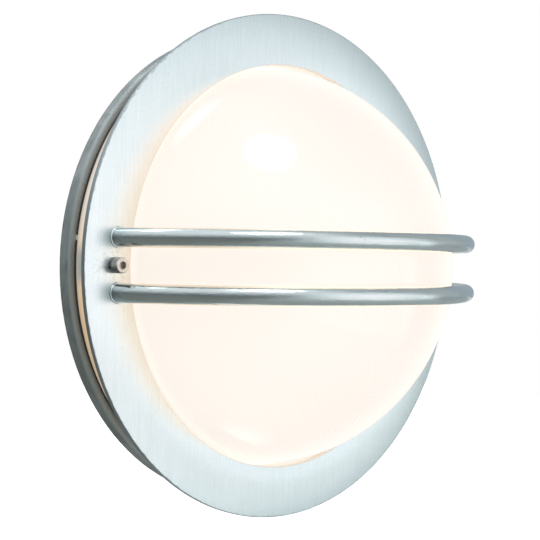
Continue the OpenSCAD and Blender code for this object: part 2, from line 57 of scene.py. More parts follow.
def put(tree, kind, inputs, **settings):
    """Add a shader node of that kind, choose its settings and feed its inputs."""
    node = tree.nodes.new("ShaderNode" + kind)
    for name, value in settings.items():
        setattr(node, name, value)
    for name, value in inputs.items():
        feed(tree, node, name, value)
    return node


def work_out(tree, operation, first, second=0.0):
    """The result of one sum on two numbers."""
    node = put(tree, "Math", {0: first, 1: second}, operation=operation)
    return node.outputs[0]


def times(tree, first, second):
    """The product of two numbers."""
    return work_out(tree, "MULTIPLY", first, second)


def spread(tree, value, low, high, to_low, to_high):
    """The value's range from low to high stretched smoothly to another range."""
    wanted = {"Value": value, "From Min": low, "From Max": high, "To Min": to_low, "To Max": to_high}
    node = put(tree, "MapRange", wanted, interpolation_type="SMOOTHSTEP")
    return node.outputs[0]


def mixed(tree, share, first, second):
    """The first colour, with that share of the second laid over it."""
    # The colour sockets share their names with others, so they go by number
    node = put(tree, "Mix", {0: share, 6: first, 7: second}, data_type="RGBA")
    return node.outputs[2]


def noise(tree, place, scale, detail, **more):
    """Noise between 0 and 1 at a place."""
    node = put(tree, "TexNoise", {"Vector": place, "Scale": scale, "Detail": detail, **more})
    return node.outputs[0]


def new_group(name, inputs, outputs):
    """An empty shader node group with its named sockets."""
    tree = bpy.data.node_groups.new(name, "ShaderNodeTree")
    for label, kind, value in inputs:
        socket = tree.interface.new_socket(label, in_out="INPUT", socket_type=kind)
        if value is not None:
            socket.default_value = value
    for label in outputs:
        tree.interface.new_socket(label, in_out="OUTPUT", socket_type="NodeSocketFloat")
    return tree, tree.nodes.new("NodeGroupInput"), tree.nodes.new("NodeGroupOutput")


def place_group(tree, group, inputs):
    """Place a node group in a material with this material's own values."""
    node = tree.nodes.new("ShaderNodeGroup")
    node.node_tree = group
    for name, value in inputs.items():
        feed(tree, node, name, value)
    return node


def new_material(name, **shader_values):
    """A material with one shader, whose constants are set on its own sockets."""
    material = bpy.data.materials.new(name)
    material.use_nodes = True
    tree = material.node_tree
    shader = tree.nodes["Principled BSDF"]
    for label, value in shader_values.items():
        shader.inputs[label.replace("_", " ")].default_value = value
    where = tree.nodes.new("ShaderNodeTexCoord").outputs["Object"]
    return material, tree, shader, where


def raise_bumps(tree, shader, height, depth):
    """Turn a height into the shader's normal, with that depth in metres."""
    bump = put(tree, "Bump", {"Height": height, "Distance": depth, "Strength": 1.0})
    tree.links.new(bump.outputs["Normal"], shader.inputs["Normal"])


VECTOR = "NodeSocketVector"
NUMBER = "NodeSocketFloat"

# Zinc crystals: soft patches, and fine specks where the coat is thin
zinc_skin, given, result = new_group(
    "Zinc skin",
    [("Place", VECTOR, None), ("Patch Scale", NUMBER, 90.0), ("Speck Scale", NUMBER, 900.0)],
    ["Patches", "Specks"],
)
patches = noise(zinc_skin, given.outputs["Place"], given.outputs["Patch Scale"], 5.0, Distortion=0.6)
specks = noise(zinc_skin, given.outputs["Place"], given.outputs["Speck Scale"], 2.0)
feed(zinc_skin, result, "Patches", spread(zinc_skin, patches, 0.3, 0.7, 0.0, 1.0))
feed(zinc_skin, result, "Specks", spread(zinc_skin, specks, 0.58, 0.74, 0.0, 1.0))

# Drawn or brushed lines: noise pressed flat across the lines and long along them
drawn_lines, given, result = new_group(
    "Drawn lines",
    [("Place", VECTOR, None), ("Across", VECTOR, (1.0, 1.0, 0.02)), ("Density", NUMBER, 1500.0)],
    ["Lines", "Wide Lines"],
)
pressed = put(
    drawn_lines,
    "VectorMath",
    {0: given.outputs["Place"], 1: given.outputs["Across"]},
    operation="MULTIPLY",
)
fine = noise(drawn_lines, pressed.outputs[0], given.outputs["Density"], 3.0, Roughness=0.65)
wide_scale = times(drawn_lines, given.outputs["Density"], 0.22)
wide = noise(drawn_lines, pressed.outputs[0], wide_scale, 2.0)
feed(drawn_lines, result, "Lines", spread(drawn_lines, fine, 0.3, 0.7, 0.0, 1.0))
feed(drawn_lines, result, "Wide Lines", spread(drawn_lines, wide, 0.32, 0.68, 0.0, 1.0))

# Round place: the distance from the light's middle line, and the distance from the wall
round_place, given, result = new_group("Round place", [("Place", VECTOR, None)], ["Radius", "Depth"])
split = put(round_place, "SeparateXYZ", {0: given.outputs["Place"]})
squares = work_out(
    round_place,
    "ADD",
    times(round_place, split.outputs["X"], split.outputs["X"]),
    times(round_place, split.outputs["Z"], split.outputs["Z"]),
)
feed(round_place, result, "Radius", work_out(round_place, "SQRT", squares))
feed(round_place, result, "Depth", times(round_place, split.outputs["Y"], -1.0))

# Worn edge: a band that fades on both sides of one radius or depth, broken up by noise
worn_edge, given, result = new_group(
    "Worn edge",
    [
        ("Place", VECTOR, None),
        ("Measure", NUMBER, 0.0),
        ("Edge", NUMBER, 0.15),
        ("Width", NUMBER, 0.001),
    ],
    ["Worn"],
)
off_edge = work_out(
    worn_edge,
    "ABSOLUTE",
    work_out(worn_edge, "SUBTRACT", given.outputs["Measure"], given.outputs["Edge"]),
)
ragged = noise(worn_edge, given.outputs["Place"], 260.0, 4.0)
reach = times(
    worn_edge,
    given.outputs["Width"],
    spread(worn_edge, ragged, 0.35, 0.7, 0.4, 1.6),
)
feed(worn_edge, result, "Worn", spread(worn_edge, off_edge, reach, 0.0, 0.0, 1.0))

pan_zinc, tree, shader, where = new_material("pan_zinc", Metallic=1.0)
skin = place_group(tree, zinc_skin, {"Place": where, "Patch Scale": 70.0, "Speck Scale": 1400.0})
turned = place_group(tree, round_place, {"Place": where})
lines = place_group(tree, drawn_lines, {"Place": where, "Across": (0.03, 1.0, 0.03), "Density": 1700.0})
rim = place_group(
    tree, worn_edge, {"Place": where, "Measure": turned.outputs["Depth"], "Edge": 0.0, "Width": 0.0012}
)
colour = mixed(tree, skin.outputs["Patches"], (0.36, 0.39, 0.39, 1.0), (0.50, 0.54, 0.54, 1.0))
colour = mixed(tree, times(tree, skin.outputs["Specks"], 0.5), colour, (0.62, 0.66, 0.66, 1.0))
colour = mixed(tree, times(tree, rim.outputs["Worn"], 0.7), colour, (0.22, 0.21, 0.19, 1.0))
# The front shoulder, about 8 mm off the wall, is paler and duller than the skirt
face = spread(tree, turned.outputs["Depth"], 0.0062, 0.0078, 0.0, 1.0)
colour = mixed(tree, face, colour, (0.56, 0.59, 0.59, 1.0))
feed(tree, shader, "Base Color", colour)
rough = spread(tree, lines.outputs["Wide Lines"], 0.0, 1.0, 0.44, 0.54)
feed(tree, shader, "Roughness", work_out(tree, "ADD", rough, times(tree, face, 0.22)))
raise_bumps(tree, shader, lines.outputs["Lines"], 0.00003)


def give_finish(material, *pieces):
    """Give CAD nodes or new pieces their material."""
    for piece in pieces:
        piece.data.materials.clear()
        piece.data.materials.append(material)


give_finish(pan_zinc, nodes["back_pan"])

# Clinch nuts
# Two steel nuts with a toothed collar, pressed into the pan from behind for the two front screws.
# Turned from bar and zinc plated, they keep fine rings from the lathe and a thin yellow-grey bloom.

screw_steel, tree, shader, where = new_material("screw_steel", Metallic=1.0)
skin = place_group(tree, zinc_skin, {"Place": where, "Patch Scale": 400.0, "Speck Scale": 2600.0})
lines = place_group(tree, drawn_lines, {"Place": where, "Across": (0.35, 1.0, 0.35), "Density": 3800.0})
colour = mixed(tree, skin.outputs["Patches"], (0.50, 0.48, 0.45, 1.0), (0.66, 0.64, 0.60, 1.0))
colour = mixed(tree, times(tree, skin.outputs["Specks"], 0.6), colour, (0.30, 0.27, 0.24, 1.0))
feed(tree, shader, "Base Color", colour)
feed(tree, shader, "Roughness", spread(tree, lines.outputs["Wide Lines"], 0.0, 1.0, 0.24, 0.42))
raise_bumps(tree, shader, lines.outputs["Lines"], 0.00002)
give_finish(screw_steel, nodes["clinch_nuts"])

# Seal ring and cable grommet
# Both are moulded in black rubber: the flat seal lies between pan and flange, the grommet snaps in.
# The rubber is matt, with pores, a grey bloom and dust that gathers in it.

seal_rubber, tree, shader, where = new_material("seal_rubber", Metallic=0.0, Specular_IOR_Level=0.3)
pores = noise(tree, where, 1500.0, 3.0)
bloom = noise(tree, where, 60.0, 4.0)
bloomed = spread(tree, bloom, 0.4, 0.7, 0.0, 1.0)
colour = mixed(tree, bloomed, (0.050, 0.042, 0.030, 1.0), (0.085, 0.075, 0.058, 1.0))
# A drop of zinc, about 3 mm across, has run over the seal at its left
drop_place = (-0.1375, -0.0088, 0.0146)
off_drop = put(tree, "VectorMath", {0: where, 1: drop_place}, operation="DISTANCE")
drop = spread(tree, off_drop.outputs["Value"], 0.0012, 0.0018, 1.0, 0.0)
feed(tree, shader, "Base Color", mixed(tree, drop, colour, (0.66, 0.68, 0.64, 1.0)))
feed(tree, shader, "Roughness", spread(tree, pores, 0.3, 0.7, 0.55, 0.8))
raise_bumps(tree, shader, pores, 0.00008)
give_finish(seal_rubber, nodes["seal_ring"], nodes["cable_grommet"])

# Terminal block
# The real one is a three-pole strip moulded in natural plastic and screwed to the pan.
# Its faces have a fine moulded grain, and handling has left it a little yellow and grey.

block_plastic, tree, shader, where = new_material(
    "block_plastic", Metallic=0.0, IOR=1.5, Subsurface_Weight=0.08, Subsurface_Scale=0.002
)
grain = noise(tree, where, 2200.0, 3.0)
handled = noise(tree, where, 150.0, 4.0)
yellowed = spread(tree, handled, 0.35, 0.7, 0.0, 1.0)
colour = mixed(tree, yellowed, (0.80, 0.79, 0.75, 1.0), (0.70, 0.67, 0.59, 1.0))
feed(tree, shader, "Base Color", colour)
feed(tree, shader, "Roughness", spread(tree, grain, 0.3, 0.7, 0.38, 0.55))
raise_bumps(tree, shader, grain, 0.00003)
give_finish(block_plastic, nodes["terminal_block"])

# Brass inserts, contact and threaded sleeve
# Inserts are turned from brass bar, the sleeve and the contact are pressed from brass strip.
# The brass has dulled: brown in patches, bright where a tool or a screw has rubbed.

brass, tree, shader, where = new_material("brass", Metallic=1.0)
skin = place_group(tree, zinc_skin, {"Place": where, "Patch Scale": 220.0, "Speck Scale": 1700.0})
lines = place_group(tree, drawn_lines, {"Place": where, "Across": (1.0, 0.2, 0.2), "Density": 2400.0})
colour = mixed(tree, skin.outputs["Patches"], (0.80, 0.60, 0.27, 1.0), (0.58, 0.40, 0.17, 1.0))
colour = mixed(tree, times(tree, skin.outputs["Specks"], 0.5), colour, (0.32, 0.20, 0.10, 1.0))
feed(tree, shader, "Base Color", colour)
feed(tree, shader, "Roughness", spread(tree, lines.outputs["Wide Lines"], 0.0, 1.0, 0.22, 0.40))
raise_bumps(tree, shader, lines.outputs["Lines"], 0.00002)
give_finish(brass, nodes["terminal_inserts"], nodes["lampholder_contact"], nodes["lampholder_sleeve"])

# Small screws
# Slotted machine screws clamp the wires, hold block, bracket and lampholder, and take the earth tag.
# They, the toothed washer and the crimped tag are the same plated steel as the nuts.

small_steel = [
    "terminal_screws",
    "terminal_fixing_screw",
    "bracket_screws",
    "lampholder_screws",
    "earth_screw",
    "earth_washer",
    "earth_tag",
]
give_finish(screw_steel, *[nodes[name] for name in small_steel])

# Holder bracket
# The real one is a strip of galvanised sheet, folded once and screwed to the pan.
# Its zinc is the same as the pan's.

give_finish(pan_zinc, nodes["holder_bracket"])

# Lampholder
# The real one is pressed and fired ceramic with a clear white glaze, and holds the brass sleeve.
# The glaze pools a little darker in hollows, with a few specks from the kiln.

holder_ceramic, tree, shader, where = new_material(
    "holder_ceramic", Metallic=0.0, IOR=1.52, Coat_Weight=0.5, Coat_Roughness=0.05
)
glaze = noise(tree, where, 45.0, 3.0)
kiln_specks = put(tree, "TexVoronoi", {"Vector": where, "Scale": 260.0, "Randomness": 1.0})
speck = spread(tree, kiln_specks.outputs["Distance"], 0.0, 0.09, 1.0, 0.0)
pooled = spread(tree, glaze, 0.35, 0.65, 0.0, 1.0)
colour = mixed(tree, pooled, (0.84, 0.82, 0.76, 1.0), (0.77, 0.74, 0.67, 1.0))
colour = mixed(tree, times(tree, speck, 0.55), colour, (0.42, 0.34, 0.24, 1.0))
feed(tree, shader, "Base Color", colour)
feed(tree, shader, "Roughness", spread(tree, glaze, 0.3, 0.7, 0.10, 0.22))
raise_bumps(tree, shader, glaze, 0.0002)
give_finish(holder_ceramic, nodes["lampholder"])

# Leads
# Live, neutral and earth are single copper wires in soft plastic sleeves, cut and stripped by hand.
# The sleeves are matt from heat and dust, and the earth's yellow stripe winds round the green.


def sleeve_material(name, plain, dusty, stripe=None):
    """The plastic of one lead: its colour, dust, and a stripe where it has one."""
    material, tree, shader, where = new_material(name, Metallic=0.0, IOR=1.5)
    dust = noise(tree, where, 240.0, 4.0)
    dusted = spread(tree, dust, 0.4, 0.72, 0.0, 1.0)
    colour = mixed(tree, dusted, plain, dusty)
    if stripe:
        places = put(tree, "SeparateXYZ", {0: where})
        slope = work_out(tree, "ADD", places.outputs["X"], times(tree, places.outputs["Y"], 1.4))
        slope = work_out(tree, "ADD", slope, times(tree, places.outputs["Z"], 0.8))
        wound = work_out(tree, "SINE", times(tree, slope, 900.0))
        colour = mixed(tree, spread(tree, wound, 0.15, 0.35, 0.0, 1.0), colour, stripe)
    feed(tree, shader, "Base Color", colour)
    feed(tree, shader, "Roughness", spread(tree, dust, 0.3, 0.7, 0.38, 0.6))
    raise_bumps(tree, shader, dust, 0.00004)
    return material


live_brown = sleeve_material("live_sleeve", (0.16, 0.065, 0.03, 1.0), (0.24, 0.14, 0.09, 1.0))
neutral_blue = sleeve_material("neutral_sleeve", (0.03, 0.12, 0.42, 1.0), (0.12, 0.21, 0.45, 1.0))
earth_green = sleeve_material(
    "earth_sleeve", (0.06, 0.30, 0.07, 1.0), (0.16, 0.34, 0.15, 1.0), (0.72, 0.62, 0.06, 1.0)
)
give_finish(live_brown, nodes["live_lead"])
give_finish(neutral_blue, nodes["neutral_lead"])
give_finish(earth_green, nodes["earth_lead"])

# Bulb
# The real one is a round lamp of thin blown opal glass, cemented into a rolled nickel-plated cap.
# The glass has a soft gloss with faint streaks; the cap is scuffed along the crests of its thread.

cap_length = 0.027
cap_end_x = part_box("bulb")[0].x + cap_length

bulb_glass, tree, shader, where = new_material("bulb_glass", Emission_Strength=1.0, IOR=1.5)
places = put(tree, "SeparateXYZ", {0: where})
in_cap = spread(tree, places.outputs["X"], cap_end_x - 0.0002, cap_end_x + 0.0002, 1.0, 0.0)
streaks = noise(tree, where, 60.0, 4.0, Distortion=1.0)
scuffs = noise(tree, where, 1200.0, 3.0)
glass_colour = mixed(tree, streaks, (0.90, 0.86, 0.79, 1.0), (0.84, 0.79, 0.71, 1.0))
scuffed = spread(tree, scuffs, 0.4, 0.7, 0.0, 1.0)
cap_colour = mixed(tree, scuffed, (0.62, 0.58, 0.52, 1.0), (0.42, 0.38, 0.33, 1.0))
feed(tree, shader, "Base Color", mixed(tree, in_cap, glass_colour, cap_colour))
feed(tree, shader, "Metallic", in_cap)
glow = mixed(tree, in_cap, (0.85, 0.74, 0.60, 1.0), (0.0, 0.0, 0.0, 1.0))
feed(tree, shader, "Emission Color", glow)
feed(tree, shader, "Roughness", spread(tree, scuffs, 0.3, 0.7, 0.12, 0.32))
raise_bumps(tree, shader, streaks, 0.00008)
give_finish(bulb_glass, nodes["bulb"])

# Opal dome
# The real one is a single opal shell with a flat flange, blown in a mould.
# The ring's screws press its flange to the pan. Lit from inside it glows evenly, warmer at the foot.

dome_ball_r = 0.12206
dome_inside_r = 0.11906
dome_ball_w = 0.00144
fillet_w = 0.0147
flange_back_w = 0.0095
flange_back_r = 0.1230
# The radius and the distance from the wall of each step of the fillet and the flange
flange_lip = [
    (0.12164, 0.0139),
    (0.12205, 0.0132),
    (0.12275, 0.0127),
    (0.12365, 0.0125),
    (0.1300, 0.0125),
    (0.1376, 0.0125),
    (0.1380, 0.0121),
    (0.1380, 0.0099),
    (0.1376, flange_back_w),
    (0.1300, flange_back_w),
    (flange_back_r, flange_back_w),
]


def start_piece():
    """Deselect everything, so that the next primitive is shaped alone."""
    bpy.ops.object.select_all(action="DESELECT")


def shape_piece(name):
    """Name the primitive just added and open it for shaping."""
    piece = bpy.context.active_object
    piece.name = name
    piece.data.name = name
    bpy.ops.object.transform_apply(location=True, rotation=True, scale=True)
    bpy.ops.object.mode_set(mode="EDIT")
    return piece


def close_shape(smooth_angle):
    """Merge doubles, turn the faces outwards, close edit mode and smooth up to that angle."""
    bpy.ops.mesh.select_all(action="SELECT")
    bpy.ops.mesh.remove_doubles(threshold=0.000001)
    bpy.ops.mesh.normals_make_consistent(inside=False)
    bpy.ops.object.mode_set(mode="OBJECT")
    bpy.ops.object.shade_smooth_by_angle(angle=smooth_angle)


def apply_modifier(piece, kind, **settings):
    """Put one modifier on the piece and apply it."""
    modifier = piece.modifiers.new(kind.title(), kind)
    for name, value in settings.items():
        setattr(modifier, name, value)
    bpy.ops.object.modifier_apply(modifier=modifier.name)


def put_in_light(piece, slot_name, *stands_for):
    """Make the finished piece ride with the light and hide the CAD nodes it stands for. slot_name is
    not used.
    """
    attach(piece, "root")
    if stands_for:
        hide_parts(*stands_for)


def add_ball(radius):
    """Add a fine ball round the dome's middle, its poles on the light's middle line."""
    bpy.ops.mesh.primitive_uv_sphere_add(
        segments=192,
        ring_count=144,
        radius=radius,
        location=(0.0, -dome_ball_w, 0.0),
        rotation=(math.pi / 2, 0.0, 0.0),
    )


def keep_in_front(wanted_w, fill=False):
    """Cut off what is selected behind that distance from the wall, and fill the cut if asked."""
    bpy.ops.mesh.bisect(
        plane_co=(0.0, -wanted_w, 0.0),
        plane_no=(0.0, -1.0, 0.0),
        use_fill=fill,
        clear_inner=True,
        clear_outer=False,
    )


def select_loop_near(piece, wanted_w, wanted_r):
    """Add to the selection the vertices near that distance from the wall and that radius."""
    slack = 0.00005
    bpy.ops.object.mode_set(mode="OBJECT")
    for vertex in piece.data.vertices:
        radius = math.hypot(vertex.co.x, vertex.co.z)
        if abs(-vertex.co.y - wanted_w) < slack and abs(radius - wanted_r) < slack:
            vertex.select = True
    bpy.ops.object.mode_set(mode="EDIT")


start_piece()
add_ball(dome_ball_r)
dome = shape_piece("opal_shell")
bpy.ops.mesh.select_all(action="SELECT")
keep_in_front(fillet_w)
# The fillet and the flange are drawn outwards and back under from the shell's open foot
ring_r = math.sqrt(dome_ball_r ** 2 - (fillet_w - dome_ball_w) ** 2)
ring_w = fillet_w
for new_r, new_w in flange_lip:
    bpy.ops.mesh.extrude_region_move(TRANSFORM_OT_translate={"value": (0.0, ring_w - new_w, 0.0)})
    grow = new_r / ring_r
    bpy.ops.transform.resize(value=(grow, 1.0, grow), center_override=(0.0, -new_w, 0.0))
    ring_r, ring_w = new_r, new_w
# The inside is a smaller ball, cut level with the flange's back and joined to it
bpy.ops.mesh.select_all(action="DESELECT")
add_ball(dome_inside_r)
keep_in_front(flange_back_w)
bpy.ops.mesh.select_all(action="DESELECT")
select_loop_near(dome, flange_back_w, flange_back_r)
inside_foot_r = math.sqrt(dome_inside_r ** 2 - (flange_back_w - dome_ball_w) ** 2)
select_loop_near(dome, flange_back_w, inside_foot_r)
bpy.ops.mesh.bridge_edge_loops()
close_shape(smooth_angle=0.7)

opal, tree, shader, where = new_material(
    "opal",
    Metallic=0.0,
    IOR=1.49,
    Specular_IOR_Level=0.15,
    Emission_Strength=1.0,
    Coat_Roughness=0.05,
    Coat_IOR=1.5,
)
turned = place_group(tree, round_place, {"Place": where})
cloudy = noise(tree, where, 11.0, 2.0)
dusty = noise(tree, where, 420.0, 4.0)
cloud = spread(tree, cloudy, 0.35, 0.65, 0.0, 1.0)
colour = mixed(tree, cloud, (0.230, 0.222, 0.222, 1.0), (0.240, 0.232, 0.230, 1.0))
feed(tree, shader, "Base Color", colour)
# The glow is a little redder at the right and at the top, and weaker where the shell turns away
glow = mixed(tree, cloud, (0.908, 0.828, 0.748, 1.0), (0.914, 0.836, 0.758, 1.0))
places = put(tree, "SeparateXYZ", {0: where})
right_side = spread(tree, places.outputs["X"], -0.10, 0.02, 0.0, 1.0)
glow = mixed(tree, right_side, glow, (0.895, 0.775, 0.70, 1.0))
high_side = spread(tree, places.outputs["Z"], 0.01, 0.08, 0.0, 0.6)
glow = mixed(tree, high_side, glow, (0.895, 0.735, 0.66, 1.0))
rim = put(tree, "LayerWeight", {"Blend": 0.5})
at_rim = spread(tree, rim.outputs["Facing"], 0.45, 0.78, 0.0, 1.0)
at_edge = spread(tree, rim.outputs["Facing"], 0.84, 0.97, 0.0, 1.0)
glow = mixed(tree, at_edge, glow, (0.62, 0.57, 0.50, 1.0))
right_rim = spread(tree, places.outputs["X"], 0.02, 0.11, 0.0, 0.9)
glow = mixed(tree, right_rim, glow, (0.895, 0.795, 0.71, 1.0))
# Painted shade: near the foot, by the ring's hole, the glow is painted a little dimmer and warmer
foot = spread(tree, turned.outputs["Depth"], 0.0318, 0.0334, 1.0, 0.0)
glow = mixed(tree, foot, glow, (0.89, 0.81, 0.715, 1.0))
# Light reaches the flange only sideways through the shell; painted shade dims its glow at the top and
# bottom ends, beside the metal spacers and towards the seal
flange = spread(tree, turned.outputs["Radius"], 0.1255, 0.129, 0.0, 1.0)
low_side = spread(tree, places.outputs["Z"], -0.03, 0.05, 1.0, 0.0)
outer_glow = mixed(tree, low_side, (0.68, 0.60, 0.52, 1.0), (0.56, 0.38, 0.185, 1.0))
outer_part = spread(tree, turned.outputs["Radius"], 0.1285, 0.1315, 0.0, 1.0)
flange_glow = mixed(tree, outer_part, (0.86, 0.77, 0.64, 1.0), outer_glow)
from_level = work_out(tree, "ABSOLUTE", places.outputs["Z"])
# Painted shade: the flange's glow is painted dark at its top and bottom ends, between pan and ring
end_shade = times(
    tree,
    spread(tree, from_level, 0.07, 0.13, 0.0, 0.85),
    spread(tree, turned.outputs["Radius"], 0.1295, 0.133, 0.0, 1.0),
)
end_shade_colour = mixed(tree, low_side, (0.34, 0.31, 0.27, 1.0), (0.27, 0.26, 0.24, 1.0))
flange_glow = mixed(tree, end_shade, flange_glow, end_shade_colour)
# Painted shade: the flange's glow is painted dark grey beside each metal spacer
spacer_shade = times(
    tree,
    spread(tree, from_level, 0.004, 0.014, 1.0, 0.0),
    spread(tree, work_out(tree, "ABSOLUTE", places.outputs["X"]), 0.112, 0.118, 0.0, 1.0),
)
flange_glow = mixed(tree, spacer_shade, flange_glow, (0.26, 0.265, 0.235, 1.0))
# Painted shade: the flange's glow is painted darker and browner towards its back, by the seal
lip_shade = spread(tree, turned.outputs["Depth"], 0.0085, 0.0126, 1.0, 0.0)
flange_glow = mixed(tree, lip_shade, flange_glow, (0.34, 0.27, 0.20, 1.0))
glow = mixed(tree, flange, glow, flange_glow)
# The lamp is brighter than the picture's white, so what mirrors it sees it brighter
path = tree.nodes.new("ShaderNodeLightPath")
over_bulb = spread(tree, turned.outputs["Radius"], 0.06, 0.105, 1.0, 0.0)
brighter = mixed(tree, over_bulb, (1.22, 1.02, 0.84, 1.0), (1.75, 1.60, 1.40, 1.0))
mirrored_glow = put(tree, "VectorMath", {0: glow, 1: brighter}, operation="MULTIPLY")
in_mirror = times(tree, path.outputs["Is Glossy Ray"], work_out(tree, "SUBTRACT", 1.0, flange))
seen_glow = mixed(tree, in_mirror, glow, mirrored_glow.outputs[0])
feed(tree, shader, "Emission Color", seen_glow)
feed(tree, shader, "Roughness", spread(tree, dusty, 0.4, 0.75, 0.25, 0.4))
coated = spread(tree, dusty, 0.5, 0.8, 1.0, 0.93)
feed(tree, shader, "Coat Weight", times(tree, coated, work_out(tree, "SUBTRACT", 1.0, at_rim)))
raise_bumps(tree, shader, cloudy, 0.00004)
give_finish(opal, dome, nodes["opal_dome"])
put_in_light(dome, "opal", "opal_dome")

# Spacer tubes
# Two short steel tubes hold the ring off the flange and leave the lit gap between them.
# Sawn from tube, drilled through and galvanised, they keep the saw's lines round them.

spacer_zinc, tree, shader, where = new_material("spacer_zinc", Metallic=1.0)
skin = place_group(tree, zinc_skin, {"Place": where, "Patch Scale": 180.0, "Speck Scale": 1500.0})
lines = place_group(tree, drawn_lines, {"Place": where, "Across": (0.1, 1.0, 0.1), "Density": 2600.0})
colour = mixed(tree, skin.outputs["Patches"], (0.50, 0.54, 0.56, 1.0), (0.64, 0.68, 0.69, 1.0))
feed(tree, shader, "Base Color", colour)
feed(tree, shader, "Roughness", spread(tree, lines.outputs["Wide Lines"], 0.0, 1.0, 0.30, 0.45))
raise_bumps(tree, shader, lines.outputs["Lines"], 0.00003)
give_finish(spacer_zinc, nodes["spacer_tubes"])

# Front ring
# The real one is a flat ring, laser-cut from 3 mm steel, hot-dip galvanised and then brushed.
# The brush went up and down, and the two cut edges keep a thicker, duller rim of zinc.

ring_outer_r = 0.150
ring_inner_r = 0.120
ring_front_w = 0.0345
ring_back_w = 0.0315
ring_bevel = 0.0005
# The bars' feet stand this far above and below the light's middle
foot_z = 0.01475

start_piece()
bpy.ops.mesh.primitive_circle_add(
    vertices=288,
    radius=ring_outer_r,
    fill_type="NGON",
    location=(0.0, -ring_front_w, 0.0),
    rotation=(math.pi / 2, 0.0, 0.0),
)
ring = shape_piece("ring_plate")
bpy.ops.mesh.select_all(action="SELECT")
bpy.ops.mesh.inset(thickness=ring_outer_r - ring_inner_r)
bpy.ops.mesh.delete(type="ONLY_FACE")
bpy.ops.mesh.select_all(action="SELECT")
ring_thickness = ring_front_w - ring_back_w
bpy.ops.mesh.extrude_region_move(TRANSFORM_OT_translate={"value": (0.0, ring_thickness, 0.0)})
bpy.ops.mesh.select_all(action="SELECT")
bpy.ops.mesh.normals_make_consistent(inside=False)
bpy.ops.object.mode_set(mode="OBJECT")
apply_modifier(ring, "BEVEL", width=ring_bevel, segments=3, limit_method="ANGLE", angle_limit=1.0)
bpy.ops.object.shade_smooth_by_angle(angle=0.6)

ring_zinc, tree, shader, where = new_material("ring_zinc", Metallic=1.0, Anisotropic=0.75)
skin = place_group(tree, zinc_skin, {"Place": where, "Patch Scale": 45.0, "Speck Scale": 900.0})
turned = place_group(tree, round_place, {"Place": where})
hair = place_group(tree, drawn_lines, {"Place": where, "Across": (1.0, 1.0, 0.012), "Density": 5200.0})
lines = place_group(tree, drawn_lines, {"Place": where, "Across": (1.0, 1.0, 0.04), "Density": 1150.0})
outer_rim = place_group(
    tree,
    worn_edge,
    {"Place": where, "Measure": turned.outputs["Radius"], "Edge": ring_outer_r, "Width": 0.0009},
)
inner_rim = place_group(
    tree,
    worn_edge,
    {"Place": where, "Measure": turned.outputs["Radius"], "Edge": ring_inner_r, "Width": 0.0007},
)
inner_worn = times(tree, inner_rim.outputs["Worn"], 0.15)
rims = work_out(tree, "MAXIMUM", outer_rim.outputs["Worn"], inner_worn)
colour = mixed(tree, lines.outputs["Lines"], (0.700, 0.772, 0.782, 1.0), (0.736, 0.808, 0.818, 1.0))
colour = mixed(tree, times(tree, skin.outputs["Patches"], 0.25), colour, (0.79, 0.85, 0.87, 1.0))
colour = mixed(tree, times(tree, skin.outputs["Specks"], 0.35), colour, (0.50, 0.56, 0.58, 1.0))
colour = mixed(tree, times(tree, rims, 0.8), colour, (0.36, 0.40, 0.42, 1.0))
# The cut face of the hole is dull, so it takes up the light of the dome beside it
in_hole = spread(tree, turned.outputs["Radius"], 0.1201, 0.1204, 1.0, 0.0)
colour = mixed(tree, in_hole, colour, (0.90, 0.92, 0.92, 1.0))
# Painted reflection: the zinc is painted dark grey on the outer side of each foot, where the ring
# mirrors the bar's dark side
places = put(tree, "SeparateXYZ", {0: where})
from_middle = work_out(tree, "ABSOLUTE", places.outputs["X"])
off_foot = work_out(tree, "SUBTRACT", work_out(tree, "ABSOLUTE", places.outputs["Z"]), foot_z)
beside_foot = spread(tree, work_out(tree, "ABSOLUTE", off_foot), 0.0015, 0.0072, 1.0, 0.0)
fading = spread(tree, from_middle, 0.1300, 0.1455, 1.0, 0.0)
on_outer_side = spread(tree, from_middle, 0.1240, 0.1290, 0.0, 1.0)
painted_bar_reflection = times(tree, times(tree, fading, beside_foot), on_outer_side)
colour = mixed(tree, times(tree, painted_bar_reflection, 0.88), colour, (0.23, 0.29, 0.29, 1.0))
# Damp from the screws has left faint brown specks round them
specks_x = 0.132
aside = work_out(tree, "SUBTRACT", from_middle, specks_x)
from_screw = put(tree, "CombineXYZ", {0: aside, 2: places.outputs["Z"]})
off_screw = put(tree, "VectorMath", {0: from_screw.outputs[0]}, operation="LENGTH")
near_screw = spread(tree, off_screw.outputs["Value"], 0.005, 0.017, 1.0, 0.0)
dots = noise(tree, where, 620.0, 3.0)
rusty = times(tree, spread(tree, dots, 0.52, 0.68, 0.0, 0.6), near_screw)
colour = mixed(tree, rusty, colour, (0.58, 0.54, 0.45, 1.0))
feed(tree, shader, "Base Color", colour)
rough = spread(tree, lines.outputs["Wide Lines"], 0.0, 1.0, 0.21, 0.24)
rough = work_out(tree, "ADD", rough, times(tree, rims, 0.15))
feed(tree, shader, "Roughness", work_out(tree, "ADD", rough, times(tree, in_hole, 0.5)))
brushed = work_out(
    tree,
    "ADD",
    times(tree, hair.outputs["Lines"], 0.6),
    times(tree, lines.outputs["Lines"], 0.5),
)
raise_bumps(tree, shader, brushed, 0.000018)
give_finish(ring_zinc, ring, nodes["front_ring"])
put_in_light(ring, "ring_zinc", "front_ring")

# Guard bars
# The real ones are round steel bars, bent to an arc over the dome and welded to the ring.
# Hot zinc left them smooth with a few lumps and pits, and bending drew faint lines along them.

bar_r = 0.00525
foot_x = 0.12785
bar_heights = {"upper": foot_z, "lower": -foot_z}
# The bar is drawn this much thinner than the CAD's, to stay inside its box
bar_shrink = 0.00005
# Each end runs on by this angle through the ring's face, where it is cut off
past_foot = 0.08

